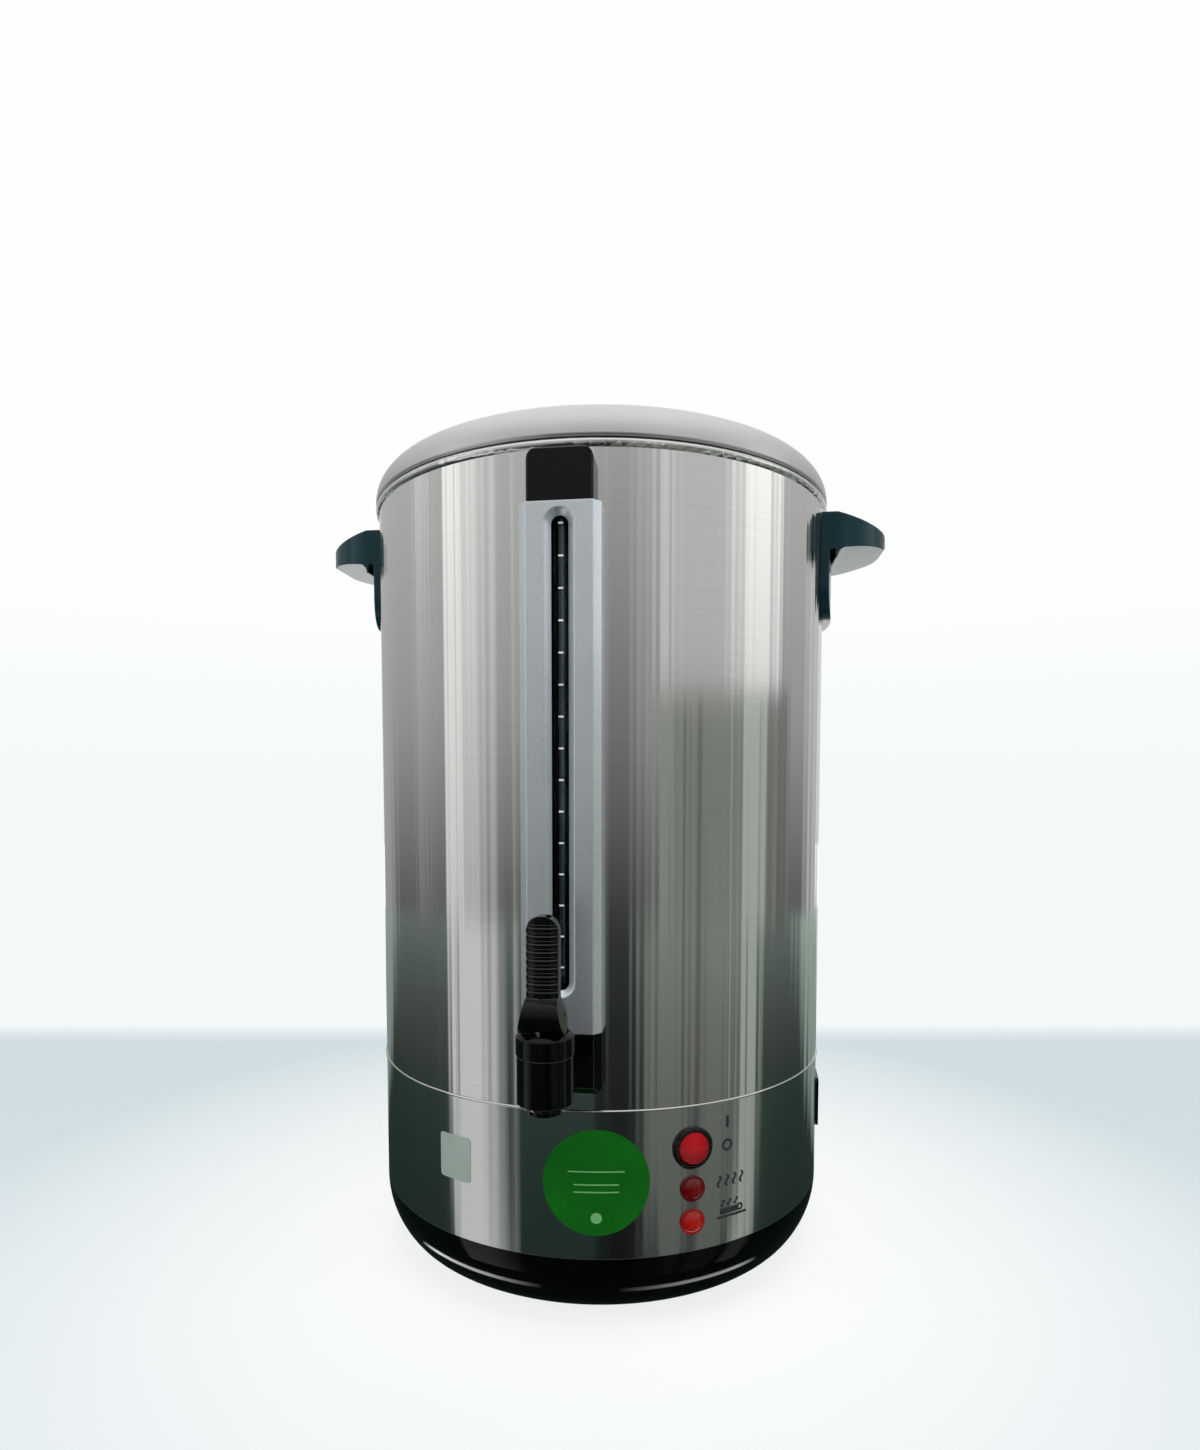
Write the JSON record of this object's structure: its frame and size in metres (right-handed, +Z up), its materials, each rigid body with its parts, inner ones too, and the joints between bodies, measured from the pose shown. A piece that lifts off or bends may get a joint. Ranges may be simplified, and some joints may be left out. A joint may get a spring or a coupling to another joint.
{
  "type": "coffee urn",
  "caption": "Cylindrical steel urn for hot drinks with a lift-off lid, sight gauge, self-closing lever tap, shelf handles and a switched heated base.",
  "frame": {"origin": "centre of the foot ring on the floor, on the tank's axis", "axes": "+Z up along the tank's axis, -Y out of the front through the tap, +X to the right of someone facing the front"},
  "size_m": [0.363, 0.3582, 0.53],
  "materials": {
    "steel": "fine brushed",
    "black_gloss": "gloss",
    "silver_cover": "satin silver",
    "clear_tube": "clear",
    "red_lens": "gloss",
    "foot_rubber": "matt",
    "silicone": "matt",
    "plated_steel": "zinc plated",
    "brass": "satin",
    "aluminium": "satin",
    "pale_plastic": "matt"
  },
  "bodies": {
    "urn": {"tank": "steel", "skirt": "steel", "skirt_ring": "steel", "base": "black_gloss", "handle_left": "black_gloss", "handle_right": "black_gloss", "gauge_carrier": "black_gloss", "tap_body": "black_gloss", "tap_bonnet": "black_gloss", "switch_body": "black_gloss", "lamp_holders": "black_gloss", "inlet_body": "black_gloss", "gauge_cover": "silver_cover", "gauge_tube": "clear_tube", "heating_lamp_lens": "red_lens", "warm_lamp_lens": "red_lens", "foot_ring": "foot_rubber", "gauge_low_seal": "silicone", "gauge_top_seal": "silicone", "gauge_washer": "silicone", "tap_outer_gasket": "silicone", "tap_inner_gasket": "silicone", "handle_studs": "plated_steel", "tie_rod": "plated_steel", "tie_washer": "plated_steel", "tie_nut": "plated_steel", "handle_nuts": "plated_steel", "gauge_screw": "plated_steel", "tap_spring": "plated_steel", "lamp_nuts": "plated_steel", "thermostat_screws": "plated_steel", "heating_element": "plated_steel", "tap_nut": "brass", "inlet_pins": "brass", "terminal_screws": "brass", "heat_plate": "aluminium", "control_thermostat": "aluminium", "boil_dry_cutout": "aluminium", "terminal_block": "pale_plastic"},
    "valve": {"tap_stem": "plated_steel", "seat_cup": "silicone"},
    "lever": {"tap_lever": "black_gloss", "lever_pin": "plated_steel"},
    "rocker": {"switch_rocker": "red_lens"},
    "lid": {"lid": "steel", "lid_ring": "steel", "lid_knob": "black_gloss", "knob_screw": "plated_steel", "knob_washer": "plated_steel"}
  },
  "joints": [
    {"name": "lid_lift", "type": "slide", "parent": "urn", "child": "lid", "axis": [0, 0, 1], "range_m": [0, 0.15]},
    {"name": "valve_lift", "type": "slide", "parent": "urn", "child": "valve", "axis": [0, 0, 1], "range_m": [0, 0.00349], "stiffness_N_per_m": 300, "springref_m": -0.004, "deforming": ["tap_spring"]},
    {"name": "lever_pull", "type": "hinge", "parent": "valve", "child": "lever", "pos_m": [0, -0.2, 0.18838], "axis": [1, 0, 0], "range_deg": [0, 40]},
    {"name": "switch_rock", "type": "hinge", "parent": "urn", "child": "rocker", "pos_m": [0.06513, -0.12618, 0.09912], "axis": [0.8886, 0.4587, 0], "range_deg": [0, 20]}
  ],
  "couplings": [
    {"joint": "lever_pull", "follows": "valve_lift", "rad_per_m": 200}
  ]
}
